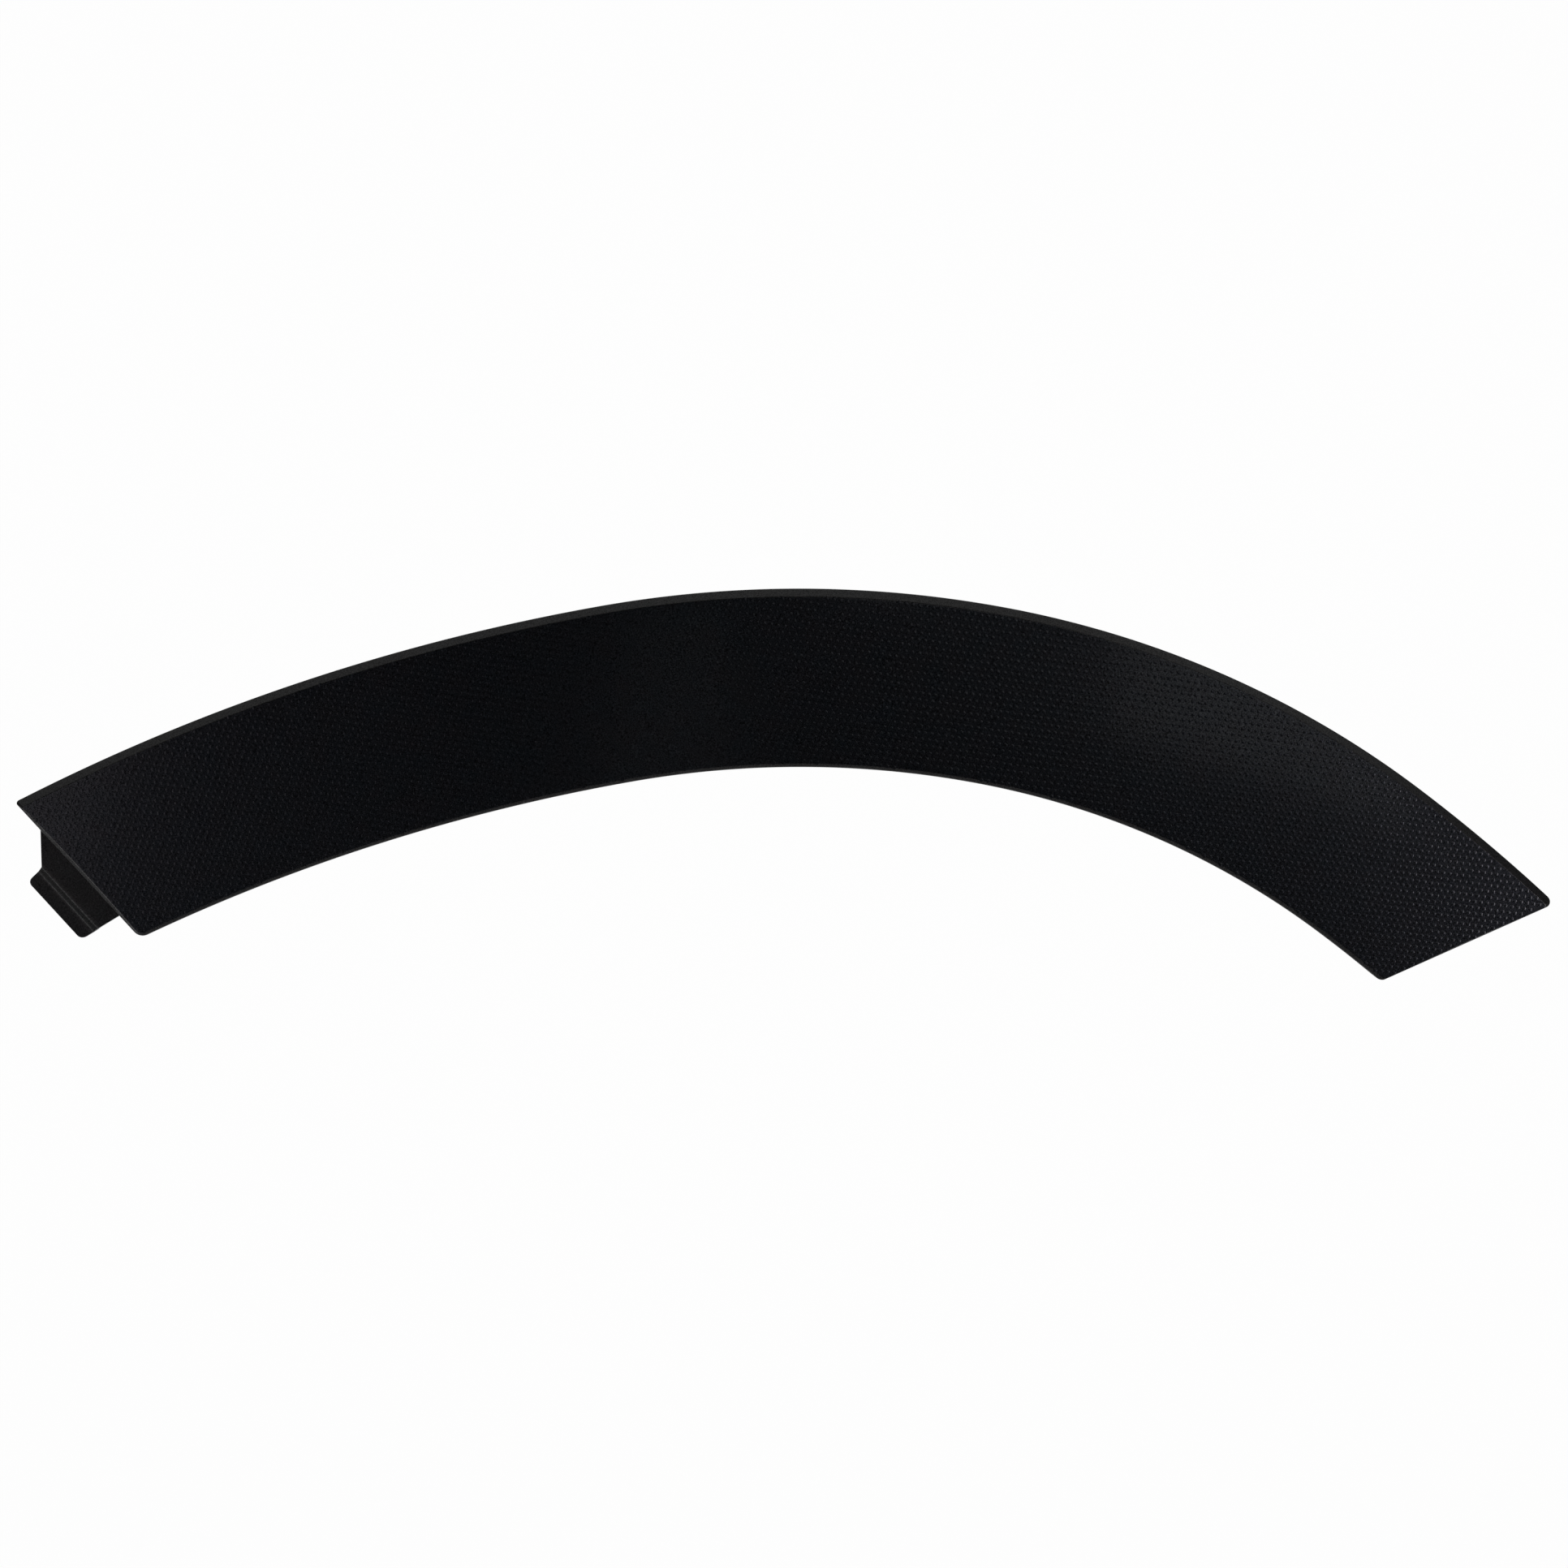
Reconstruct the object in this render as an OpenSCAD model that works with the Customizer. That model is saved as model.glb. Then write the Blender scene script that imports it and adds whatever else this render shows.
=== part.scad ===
/*
Wheel arch trim, one piece of moulded plastic.

X runs along the trim, to the right as seen from outside. Y runs inwards, from the
visible face to the car body. Z points up. The origin lies in the middle clip seat, on
the plane that the clip's collar rests on. All lengths are in millimetres.

The upper edge of the face follows four arcs that run into each other without a kink and
lie in one plane. This plane and the section lean back together, so both ends of the trim
sweep inwards with the side of the car. One section is swept along these arcs. In the
section, u runs across the band (0 at the upper edge, negative towards the wheel) and w
runs inwards from the face.
*/

/* [Arch] */
// Radius of the upper edge over the crown
crown_radius = 440; // [425:1:455]
// How much wider the arc left of the crown is, in steps of 61 mm
left_shift = 6.1; // [5.5:0.1:7]
// How much tighter the arc right of the crown is, in steps of 61 mm
right_shift = 0.72; // [0.6:0.01:0.9]
// How much wider the arc at the right end is again, in steps of 5 mm
tail_shift = 62; // [52:1:72]
// Lean of the arcs' plane
lean = 14; // [11:0.5:17]
// Distance along the upper edge from the middle to the left end
left_reach = 324.9; // [319:0.1:328]
// Distance along the upper edge from the middle to the right end
right_reach = 335.5; // [329:0.1:338]

/* [Section] */
// Width of the band
band_w = 70.1; // [66:0.1:74]
// Thickness of the face
wall = 2.5; // [2.2:0.1:3]
// Bulge of the face across the band
face_bulge = 0.8; // [0.5:0.1:1.5]
// Width of the bevel along the upper edge
bevel_w = 3.4; // [2.6:0.1:4.2]
// Depth of the bevel at the upper edge
bevel_drop = 2.8; // [2:0.1:3.2]
// Depth of the upper lip
lip_depth = 9; // [8:0.5:10]
// Thickness of the upper lip
lip_wall = 2.4; // [2.2:0.1:2.8]
// Depth of the flange towards the wheel
flange_depth = 18; // [17.5:0.5:22]
// Thickness of the flange
flange_wall = 2.2; // [2:0.1:2.8]
// How far the flange's edge leans in from the lower edge
flange_lean = 2; // [1:0.1:2.5]
// Rounding of the lower edge of the face
edge_r = 2; // [1.2:0.1:2.4]

/* [Ends] */
// Slant of the left end
left_skew = 16.3; // [12:0.1:20]
// Slant of the right end
right_skew = 25.3; // [20:0.1:28]
// Thickness of the end walls
end_wall = 2.2; // [2:0.1:2.8]
// Rounding of the upper left corner
left_top_r = 1.2; // [0.8:0.1:2]
// Rounding of the lower left corner
left_low_r = 4.4; // [3:0.1:5]
// Rounding of the upper right corner
right_top_r = 2.4; // [1.5:0.1:3.5]
// Rounding of the lower right corner
right_low_r = 3; // [2:0.1:4]
// Chamfer between the face and the left end
left_chamfer = 1.7; // [1:0.1:2]
// Chamfer between the face and the right end
right_chamfer = 0.7; // [0.4:0.1:1.5]

/* [Joint tongue] */
// Distance that the tongue stands out of the left end
tongue_out = 18.5; // [17:0.5:20]
// Distance from the end to where the tongue steps down
tongue_shelf = 9.9; // [9:0.1:11]
// Length of the sloping step
tongue_slope = 2.7; // [2:0.1:3]
// Height of the step
tongue_step = 3.2; // [2.5:0.1:3.5]
// Distance of the tongue's shelf behind the face
tongue_drop = 3.4; // [3:0.1:4]
// Thickness of the tongue
tongue_wall = 2.2; // [2:0.1:2.6]
// Upper side of the tongue at its root, measured down the end
tongue_top = 14.6; // [13:0.1:17]
// Upper side of the tongue at the step
tongue_top_lip = 25.8; // [24:0.1:28]
// Lower side of the tongue at its root
tongue_low = 61; // [58:0.1:62]
// Lower side of the tongue at its free edge
tongue_low_lip = 57; // [54:0.1:58]
// Rounding of the tongue's free corners
tongue_r = 2.2; // [1:0.1:3]

/* [Clip seats] */
// Number of clip seats on either side of the middle one
seats_each_side = 3; // [2:1:3]
// Distance of the first seat from the left end, along the upper edge
left_seat_gap = 39.9; // [34:0.1:42]
// Distance of the last seat from the right end, along the upper edge
right_seat_gap = 50.5; // [44:0.1:52]
// Distance of the seats from the upper edge
seat_inset = 24; // [22:0.5:26]
// Depth of the plane that the clips rest on, behind the face
seat_plane = 12; // [11:0.1:13]
// Thickness of the seat plate
seat_plate = 2; // [1.6:0.1:2.2]
// Radius of the round seat in the plate
seat_r = 4; // [3.5:0.1:4.5]
// Width of the neck that the clip snaps through
neck_w = 5; // [4.2:0.1:5]
// Width of the slot's mouth
mouth_w = 11; // [9:0.5:12]
// Length of the clip tower along the trim
tower_l = 22; // [20:0.5:24]
// Width of the clip tower
tower_w = 18; // [17:0.5:20]
// Thickness of the tower's walls
tower_wall = 1.6; // [1.4:0.1:2]
// Thickness of the floor in the tower, measured from the face
tower_floor = 3.5; // [3.4:0.1:4]

/* [Screw holes and ribs] */
// Number of screw holes in the flange
screw_count = 4; // [2:2:4]
// Radius of the screw holes in the flange
screw_r = 2.75; // [2.2:0.05:3]
// Place of the outer screw holes, as a share of the way from the middle to the outer seats
screw_spread = 0.75; // [0.73:0.005:0.77]
// Depth of the screw holes behind the face
screw_depth = 10.3; // [9.8:0.1:10.8]
// Radius of the pads around the screw holes
pad_r = 5.8; // [5:0.1:6]
// Height of the pads' top above the lower edge
pad_top = 5; // [4.8:0.1:6]
// Thickness of the ribs
rib_wall = 1.6; // [1.2:0.1:2]
// Length of the ribs' foot on the face
rib_foot = 19; // [12:0.5:22]
// Distance from the ribs' upper end to the edge of the flange
rib_inset = 3; // [2:0.5:5]

/* [Hidden] */
$fa = 1;
$fs = 0.6;
// Facets in a full turn of the wide curves
wide_fn = 720;

// How far cutters pass the surfaces they cut, and how far joined shapes overlap
slack = 1;
overlap = 0.4;

// How far a rounding's circle stands out of the two sides that it joins, so that it crosses them
bite = 0.02;

// Radius of the face across the band, and the face's level and slope at a distance u
bulge_r = pow(band_w / 2, 2) / (2 * face_bulge) + face_bulge / 2;
function face_w(u) = bulge_r - sqrt(pow(bulge_r, 2) - pow(u + band_w / 2, 2));
edge_slope = asin(band_w / 2 / bulge_r);

// How far the flange has leant in at the depth w. It starts behind the rounded edge.
lean_start = face_w(-band_w) + edge_r + 0.5;
function leant_in(w) = flange_lean * max(0, w - lean_start) / (flange_depth - lean_start);

// Where the bevel's line comes out in front of the face
bevel_reach = bevel_w * (bevel_drop + slack) / (bevel_drop - face_w(-bevel_w));

// The arcs meet where their centres and the joint lie on one line. These lines have whole
// numbers as slopes, so that neighbouring arcs meet exactly.
crown_line = [11, 60];
tail_line = [3, 4];
crown_joint = atan(crown_line[0] / crown_line[1]);
tail_joint = atan(tail_line[0] / tail_line[1]);

// Centres in the arcs' plane and radii. The upper edge passes the crown at [0, 0].
crown_centre = [0, -crown_radius];
left_centre = crown_centre + left_shift * [crown_line[0], -crown_line[1]];
left_radius = crown_radius + left_shift * norm(crown_line);
right_centre = crown_centre + right_shift * crown_line;
right_radius = crown_radius - right_shift * norm(crown_line);
tail_centre = right_centre - tail_shift * tail_line;
tail_radius = right_radius + tail_shift * norm(tail_line);

// Lengths of the crown arc on one side and of the arc next to it on the right
function arc_length(r, angle) = r * angle * PI / 180;
function arc_angle(r, length) = length / r * 180 / PI;
crown_half = arc_length(crown_radius, crown_joint);
right_arc = arc_length(right_radius, tail_joint - crown_joint);

// Distance along the upper edge from the middle to a share of the way to an outer seat
function station(share) =
  share * (share < 0 ? left_reach - left_seat_gap : right_reach - right_seat_gap);

// Angle by which each arc is swept past its ends
spare = 0.6;
left_end = -crown_joint - arc_angle(left_radius, left_reach - crown_half) - spare;
right_end = tail_joint + arc_angle(tail_radius, right_reach - crown_half - right_arc) + spare;

// Radius of the upper edge within the face
function in_face(r) = r / cos(lean);

// Length of an end cut from the upper to the lower edge, and its slant at the lower edge
function low_skew(r, skew) = asin(r * sin(skew) / (r - band_w));
function cut_length(r, skew) = r * cos(skew) - (r - band_w) * cos(low_skew(r, skew));

// Turns what follows by a length along an arc, in the arcs' plane
module spin(centre, r, length) {
  translate([centre[0], 0, centre[1]])
    rotate([0, arc_angle(r, length), 0])
      translate([-centre[0], 0, -centre[1]])
        children();
}

// Places what follows at the distance s from the middle, with x along the upper edge
module place(s) {
  rotate([lean, 0, 0])
    spin(tail_centre, tail_radius, max(0, s - crown_half - right_arc))
      spin(right_centre, right_radius, max(0, min(right_arc, s - crown_half)))
        spin(left_centre, left_radius, min(0, s + crown_half))
          spin(crown_centre, crown_radius, max(-crown_half, min(crown_half, s)))
            rotate([-lean, 0, 0])
              children();
}

// Sweeps a section along one arc between two angles from the upright
module revolve(centre, r, from, to) {
  translate([centre[0], 0, centre[1]])
    rotate([-90, -90, 0])
      rotate_extrude(angle = to - from, start = from, $fn = wide_fn)
        translate([r, 0])
          rotate(lean)
            children();
}

// Keeps what lies in a wedge of the arcs' plane: its tip, then the directions of its sides
module in_wedge(tip, sides) {
  intersection() {
    children();
    prism(-wedge_depth, wedge_depth)
      polygon(concat([tip], [for (side = sides) tip + side]));
  }
}

// Half depth of the wedges, and directions that reach well past the arch
wedge_depth = 60;
far_left = [-1000, 600];
crown_ray = 20 * crown_line;
left_ray = 20 * [-crown_line[0], crown_line[1]];
tail_ray = 300 * tail_line;

// Sweeps a section along each end arc, and along the whole arch
module left_sweep() {
  in_wedge(crown_centre, [[far_left[0], 0], far_left, left_ray])
    revolve(left_centre, left_radius, left_end, spare - crown_joint) children();
}

module right_sweep() {
  in_wedge(right_centre, [tail_ray, [tail_ray[0], 0]])
    revolve(tail_centre, tail_radius, tail_joint - spare, right_end) children();
}

module sweep() {
  left_sweep() children();
  in_wedge(crown_centre, [left_ray, crown_ray])
    revolve(crown_centre, crown_radius, -crown_joint - spare, crown_joint + spare) children();
  in_wedge(right_centre, [crown_ray, tail_ray])
    revolve(right_centre, right_radius, crown_joint - spare, tail_joint + spare) children();
  right_sweep() children();
}

// Prism along the depth, from w0 to w1, over an outline in x and z
module prism(w0, w1) {
  translate([0, w1, 0])
    rotate([90, 0, 0])
      linear_extrude(w1 - w0)
        children();
}

// Plate across the band, over an outline in u and w
module cross_plate(thickness) {
  translate([thickness / 2, 0, 0])
    rotate([0, -90, 0])
      linear_extrude(thickness)
        children();
}

// What a rounding takes off a corner that opens by the angle along x
module corner_off(r, angle) {
  half = angle / 2;
  tip = (r - bite) / sin(half);
  difference() {
    polygon([
      [-(slack + bite) / sin(half), 0],
      [tip - (r + slack) * sin(half), (r + slack) * cos(half)],
      [tip, 0],
      [tip - (r + slack) * sin(half), -(r + slack) * cos(half)]
    ]);
    translate([tip, 0])
      circle(r);
  }
}

// Section of the trim, filled
module full_section() {
  difference() {
    intersection() {
      translate([-band_w / 2, bulge_r])
        circle(bulge_r, $fn = 2 * wide_fn);
      polygon([
        [0, lip_depth],
        [0, bevel_drop],
        [-bevel_reach, -slack],
        [-band_w, -slack],
        [-band_w, lean_start],
        [leant_in(flange_depth) - band_w, flange_depth]
      ]);
    }
    translate([-band_w, face_w(-band_w)])
      rotate(45 - edge_slope / 2)
        corner_off(edge_r, 90 + edge_slope);
  }
}

// Section of the hollow behind the face
module hollow_section() {
  intersection() {
    translate([-band_w / 2, bulge_r])
      circle(bulge_r - wall, $fn = 2 * wide_fn);
    polygon([
      [-lip_wall, 0],
      [flange_wall - band_w, 0],
      [flange_wall - band_w, lean_start],
      [flange_wall - band_w + leant_in(flange_depth + slack), flange_depth + slack],
      [-lip_wall, flange_depth + slack]
    ]);
  }
}

module open_section() {
  difference() {
    full_section();
    hollow_section();
  }
}

// Places what follows at an end, with x standing out of the cut and z up along it
module at_left() {
  place(-left_reach)
    mirror([1, 0, 0])
      rotate([0, left_skew, 0])
        children();
}

module at_right() {
  place(right_reach)
    rotate([0, right_skew, 0])
      children();
}

// Wall that closes an end, before the end is cut
module end_slab(r, skew) {
  reach = cut_length(r, skew) + 2 * slack;
  translate([-end_wall, -slack, -reach])
    cube([end_wall + slack, flange_depth + 2 * slack, reach + slack]);
}

// How far the end cutters reach past the section
beyond = 15;

// Everything beyond an end: the cut, its two rounded corners and its chamfer
module end_off(r, skew, top_r, low_r, chamfer) {
  reach = cut_length(r, skew);
  prism(-slack, flange_depth + slack) {
    translate([0, -reach - beyond])
      square([3 * beyond, reach + 2 * beyond]);
    rotate(-90 - (90 - skew) / 2)
      corner_off(top_r, 90 - skew);
    translate([0, -reach])
      rotate(90 + (90 + low_skew(r, skew)) / 2)
        corner_off(low_r, 90 + low_skew(r, skew));
  }
  translate([0, 0, -reach - beyond])
    linear_extrude(reach + 2 * beyond)
      polygon([[-chamfer - slack, -slack], [slack, -slack], [slack, chamfer + slack]]);
}

module left_off() {
  at_left() end_off(in_face(left_radius), left_skew, left_top_r, left_low_r, left_chamfer);
}

module right_off() {
  at_right() end_off(in_face(tail_radius), right_skew, right_top_r, right_low_r, right_chamfer);
}

module end_walls() {
  intersection() {
    rotate([lean, 0, 0])
      left_sweep() full_section();
    at_left() end_slab(in_face(left_radius), left_skew);
  }
  intersection() {
    rotate([lean, 0, 0])
      right_sweep() full_section();
    at_right() end_slab(in_face(tail_radius), right_skew);
  }
}

// Joggled tongue that slides behind the neighbouring trim
module tongue_outline() {
  difference() {
    polygon([
      [-end_wall, -tongue_top],
      [0, -tongue_top],
      [tongue_shelf, -tongue_top_lip],
      [tongue_out, -tongue_top_lip],
      [tongue_out, -tongue_low_lip],
      [0, -tongue_low],
      [-end_wall, -tongue_low]
    ]);
    translate([tongue_out, -tongue_top_lip])
      rotate(-135)
        corner_off(tongue_r, 90);
    translate([tongue_out, -tongue_low_lip])
      rotate(135 + tongue_side / 2)
        corner_off(tongue_r, 90 + tongue_side);
  }
}

tongue_side = atan((tongue_low - tongue_low_lip) / tongue_out);
lip_level = tongue_drop + tongue_step;
// Shift between the step's front and back that keeps the sloping wall as thick
step_shift = tongue_wall * tan(atan(tongue_step / tongue_slope) / 2);

module tongue() {
  intersection() {
    translate([0, 0, -tongue_low - slack])
      linear_extrude(tongue_low - tongue_top + 2 * slack)
        polygon([
          [-end_wall, tongue_drop],
          [tongue_shelf, tongue_drop],
          [tongue_shelf + tongue_slope, lip_level],
          [tongue_out + slack, lip_level],
          [tongue_out + slack, lip_level + tongue_wall],
          [tongue_shelf + tongue_slope - step_shift, lip_level + tongue_wall],
          [tongue_shelf - step_shift, tongue_drop + tongue_wall],
          [-end_wall, tongue_drop + tongue_wall]
        ]);
    prism(0, lip_level + tongue_wall + slack)
      tongue_outline();
  }
}

// Clip tower: a pocket under a plate with a keyhole slot, open towards +x
module tower() {
  translate([-tower_l / 2, wall - overlap, -tower_w / 2])
    cube([tower_l, seat_plane - wall + overlap, tower_w]);
}

module tower_hollow() {
  translate([tower_wall - tower_l / 2, tower_floor, tower_wall - tower_w / 2])
    cube([tower_l, seat_plane - seat_plate - tower_floor, tower_w - 2 * tower_wall]);
  prism(seat_plane - seat_plate - slack, seat_plane + slack) {
    circle(seat_r);
    translate([0, -neck_w / 2])
      square([tower_l / 2 + slack, neck_w]);
    polygon([
      [tower_l / 2 - mouth_w / 2 + neck_w / 2, neck_w / 2],
      [tower_l / 2 + slack, mouth_w / 2 + slack],
      [tower_l / 2 + slack, -mouth_w / 2 - slack],
      [tower_l / 2 - mouth_w / 2 + neck_w / 2, -neck_w / 2]
    ]);
  }
}

module at_seats() {
  for (i = [-seats_each_side:seats_each_side])
    place(station(i / seats_each_side))
      translate([0, 0, -seat_inset])
        children();
}

// Screw holes through the flange, with a pad around each
module at_screws() {
  for (i = [0:screw_count - 1])
    place(station(screw_spread * (2 * i / (screw_count - 1) - 1)))
      translate([0, screw_depth, -band_w])
        children();
}

// Pad around a screw hole. It starts within the leaning flange.
module pad() {
  foot = (leant_in(screw_depth + pad_r) + flange_wall) / 2;
  translate([0, 0, foot])
    cylinder(pad_top - foot, r = pad_r);
}

// Rib in the corner between the flange and the face
module rib() {
  root = flange_wall - band_w;
  rib_end = flange_depth - rib_inset;
  cross_plate(rib_wall)
    polygon([
      [root - overlap, wall],
      [root + rib_foot, wall],
      [root + leant_in(rib_end) - overlap, rib_end]
    ]);
}

module ribs() {
  for (i = [-2 * seats_each_side:2 * seats_each_side])
    place(station(i / seats_each_side / 2))
      rib();
}

module arch_trim() {
  color([0.09, 0.095, 0.1])
    translate([0, -seat_plane, seat_inset])
      difference() {
        union() {
          difference() {
            union() {
              rotate([lean, 0, 0])
                sweep() open_section();
              end_walls();
            }
            left_off();
            right_off();
          }
          at_left() tongue();
          at_seats() tower();
          at_screws() pad();
          ribs();
        }
        at_seats() tower_hollow();
        at_screws()
          translate([0, 0, -slack])
            cylinder(pad_top + 2 * slack, r = screw_r);
      }
}

arch_trim();
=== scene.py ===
"""Looks of a grained wheel arch trim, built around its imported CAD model."""

import bpy
import numpy as np
from bpy.props import FloatProperty, FloatVectorProperty, IntProperty, PointerProperty
from mathutils import Matrix


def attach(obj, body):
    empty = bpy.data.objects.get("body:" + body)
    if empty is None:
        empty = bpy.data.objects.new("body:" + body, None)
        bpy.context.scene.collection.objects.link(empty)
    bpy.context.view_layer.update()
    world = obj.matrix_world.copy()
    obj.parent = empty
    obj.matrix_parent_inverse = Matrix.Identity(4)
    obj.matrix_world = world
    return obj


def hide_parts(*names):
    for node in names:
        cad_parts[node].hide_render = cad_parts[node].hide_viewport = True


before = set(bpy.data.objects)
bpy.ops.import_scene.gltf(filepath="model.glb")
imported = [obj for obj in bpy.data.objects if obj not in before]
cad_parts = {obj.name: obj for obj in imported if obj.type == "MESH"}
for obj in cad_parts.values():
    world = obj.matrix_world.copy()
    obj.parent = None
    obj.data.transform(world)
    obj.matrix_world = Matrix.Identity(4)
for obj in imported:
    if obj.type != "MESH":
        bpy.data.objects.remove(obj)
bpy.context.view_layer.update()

bl_info = {
    "name": "Wheel arch trim",
    "version": (1, 0, 0),
    "blender": (4, 5, 0),
    "location": "View3D > Sidebar > Arch trim",
    "description": "Builds the grained moulding, its hidden side and the studio around it",
    "category": "Object",
}

# Sizes of the moulding in millimetres and degrees, as in the CAD source
LEAN = np.radians(14.0)
CROWN_LINE = np.array([11.0, 60.0])
TAIL_LINE = np.array([3.0, 4.0])
CROWN_RADIUS = 440.0
LEFT_SHIFT = 6.1
RIGHT_SHIFT = 0.72
TAIL_SHIFT = 62.0
LEFT_REACH = 324.9
RIGHT_REACH = 335.5
BAND = 70.1
BULGE = 0.8
WALL = 2.5
BEVEL_WIDTH = 3.4
BEVEL_DROP = 2.8
LIP_DEPTH = 9.0
LIP_WALL = 2.4
FLANGE_DEPTH = 18.0
FLANGE_WALL = 2.2
FLANGE_LEAN = 2.0
EDGE_RADIUS = 2.0
END_WALL = 2.2
SKEW = {-1: np.radians(16.3), 1: np.radians(25.3)}
REACH = {-1: LEFT_REACH, 1: RIGHT_REACH}
CHAMFER = {-1: 1.7, 1: 0.7}
SEAT_PLANE = 12.0
SEAT_INSET = 24.0
SEATS_EACH_SIDE = 3
LEFT_SEAT_GAP = 39.9
RIGHT_SEAT_GAP = 50.5
SCREW_SPREAD = 0.75
SCREWS = 4
SCREW_RADIUS = 2.75
SCREW_DEPTH = 10.3
PAD_RADIUS = 5.8
PAD_TOP = 5.0

# Centres and radii of the four arcs, in their own leaning plane
CROWN_ANGLE = np.arctan2(*CROWN_LINE)
TAIL_ANGLE = np.arctan2(*TAIL_LINE)
CROWN_CENTRE = np.array([0.0, -CROWN_RADIUS])
LEFT_CENTRE = CROWN_CENTRE + LEFT_SHIFT * CROWN_LINE * [1, -1]
LEFT_RADIUS = CROWN_RADIUS + LEFT_SHIFT * np.hypot(*CROWN_LINE)
RIGHT_CENTRE = CROWN_CENTRE + RIGHT_SHIFT * CROWN_LINE
RIGHT_RADIUS = CROWN_RADIUS - RIGHT_SHIFT * np.hypot(*CROWN_LINE)
TAIL_CENTRE = RIGHT_CENTRE - TAIL_SHIFT * TAIL_LINE
TAIL_RADIUS = RIGHT_RADIUS + TAIL_SHIFT * np.hypot(*TAIL_LINE)
CROWN_HALF = CROWN_RADIUS * CROWN_ANGLE
RIGHT_ARC = RIGHT_RADIUS * (TAIL_ANGLE - CROWN_ANGLE)
BULGE_RADIUS = (BAND / 2) ** 2 / (2 * BULGE) + BULGE / 2
END_RADIUS = {-1: LEFT_RADIUS / np.cos(LEAN), 1: TAIL_RADIUS / np.cos(LEAN)}

# How far the rounded lower edge reaches along the face and along the flange
EDGE_REACH = EDGE_RADIUS * (2 - np.sqrt(2))

# Points along the long sides, along the ends and on half a corner of an outline
ALONG = 296
ACROSS = 44
TURN = 3
LONG_SIDE = ALONG + 2 * TURN + 1
SHORT_SIDE = ACROSS + 2 * TURN + 1

# Corners of the outlines as the end and whether it is an upper one, and their radii
CORNERS = (-1, False), (1, False), (1, True), (-1, True)
OUTER_RADII = 4.4, 3.0, 2.4, 1.2
FACE_RADII = 3.2, 2.4, 0.9, 0.7
INNER_RADII = 1.6, 1.6, 1.2, 1.2
WELL_RADII = 1.2, 1.2, 1.0, 1.0

# Rounding between the inner walls and the surface behind the face
WELL_CURVE = 1.6

# Half the width of the window in the flange's mesh that a screw hole fills
HOLE_WINDOW = 8.5

# How sharply the tongue bends from its flats into its slope
TONGUE_BEND = 0.4

# Camera: shift of the crown and distance in millimetres, focal length in the photo's pixels
CAMERA_TURNS = ("Z", 0.167), ("Y", -1.517), ("X", -1.092)
CAMERA_SHIFT = np.array([7.7, -76.66, 0.0])
CAMERA_DISTANCE = 2000.0
FOCAL_PIXELS = 6300
PHOTO_PIXELS = 1932
SENSOR_WIDTH = 36.0


def leaned(p, angle):
    """Points turned about the X axis."""
    x, y, z = p
    return x, y * np.cos(angle) - z * np.sin(angle), y * np.sin(angle) + z * np.cos(angle)


def spun(p, centre, angle):
    """Points turned within the arcs' plane about one centre."""
    x, y, z = p
    dx, dz = x - centre[0], z - centre[1]
    return (centre[0] + dx * np.cos(angle) + dz * np.sin(angle), y,
            centre[1] - dx * np.sin(angle) + dz * np.cos(angle))


def placed(s, x, w, z):
    """Points of the local frame at the distance s along the upper edge, carried to the model.

    The frame rolls along four tangent arcs in a plane that leans back: x runs along the edge,
    w is the depth behind the face and z stands outwards from the edge.
    """
    p = leaned(np.broadcast_arrays(x, w, z, s)[:3], -LEAN)
    p = spun(p, CROWN_CENTRE, np.clip(s, -CROWN_HALF, CROWN_HALF) / CROWN_RADIUS)
    p = spun(p, LEFT_CENTRE, np.minimum(0, s + CROWN_HALF) / LEFT_RADIUS)
    p = spun(p, RIGHT_CENTRE, np.clip(s - CROWN_HALF, 0, RIGHT_ARC) / RIGHT_RADIUS)
    p = spun(p, TAIL_CENTRE, np.maximum(0, s - CROWN_HALF - RIGHT_ARC) / TAIL_RADIUS)
    p = leaned(p, LEAN)
    return np.stack([p[0], p[1] - SEAT_PLANE, p[2] + SEAT_INSET], axis=-1)


def face_level(u):
    """Depth of the face: a shallow arc across the band, deepest at both edges."""
    return BULGE_RADIUS - np.sqrt(BULGE_RADIUS ** 2 - (u + BAND / 2) ** 2)


def inner_level(u):
    """Depth of the surface behind the face, one wall further in."""
    return BULGE_RADIUS - np.sqrt((BULGE_RADIUS - WALL) ** 2 - (u + BAND / 2) ** 2)


def back_level(u):
    """Depth of the rim: a straight line from the lip to the flange."""
    return LIP_DEPTH - u / (BAND - FLANGE_LEAN) * (FLANGE_DEPTH - LIP_DEPTH)


def leant_in(w):
    """How far the flange leans in from the lower edge at a depth."""
    start = BULGE + EDGE_REACH
    return FLANGE_LEAN * np.maximum(0, w - start) / (FLANGE_DEPTH - start)


def stretch(s, u):
    """Length on the band for a unit of s, which is less towards the lower edge."""
    return np.linalg.norm(placed(s + 0.5, 0, 0, u) - placed(s - 0.5, 0, 0, u), axis=-1)


def at_end(end, x, w, z):
    """Points of an end's frame: x stands out of the slanting cut and z runs up along it."""
    c, n = np.cos(SKEW[end]), np.sin(SKEW[end])
    return placed(end * REACH[end], end * (x * c + z * n), w, z * c - x * n)


def beyond_cut(end, p):
    """How far points lie outside the slanting cut of an end."""
    origin = at_end(end, 0.0, 0.0, 0.0)
    return (p - origin) @ (at_end(end, 1.0, 0.0, 0.0) - origin)


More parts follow.
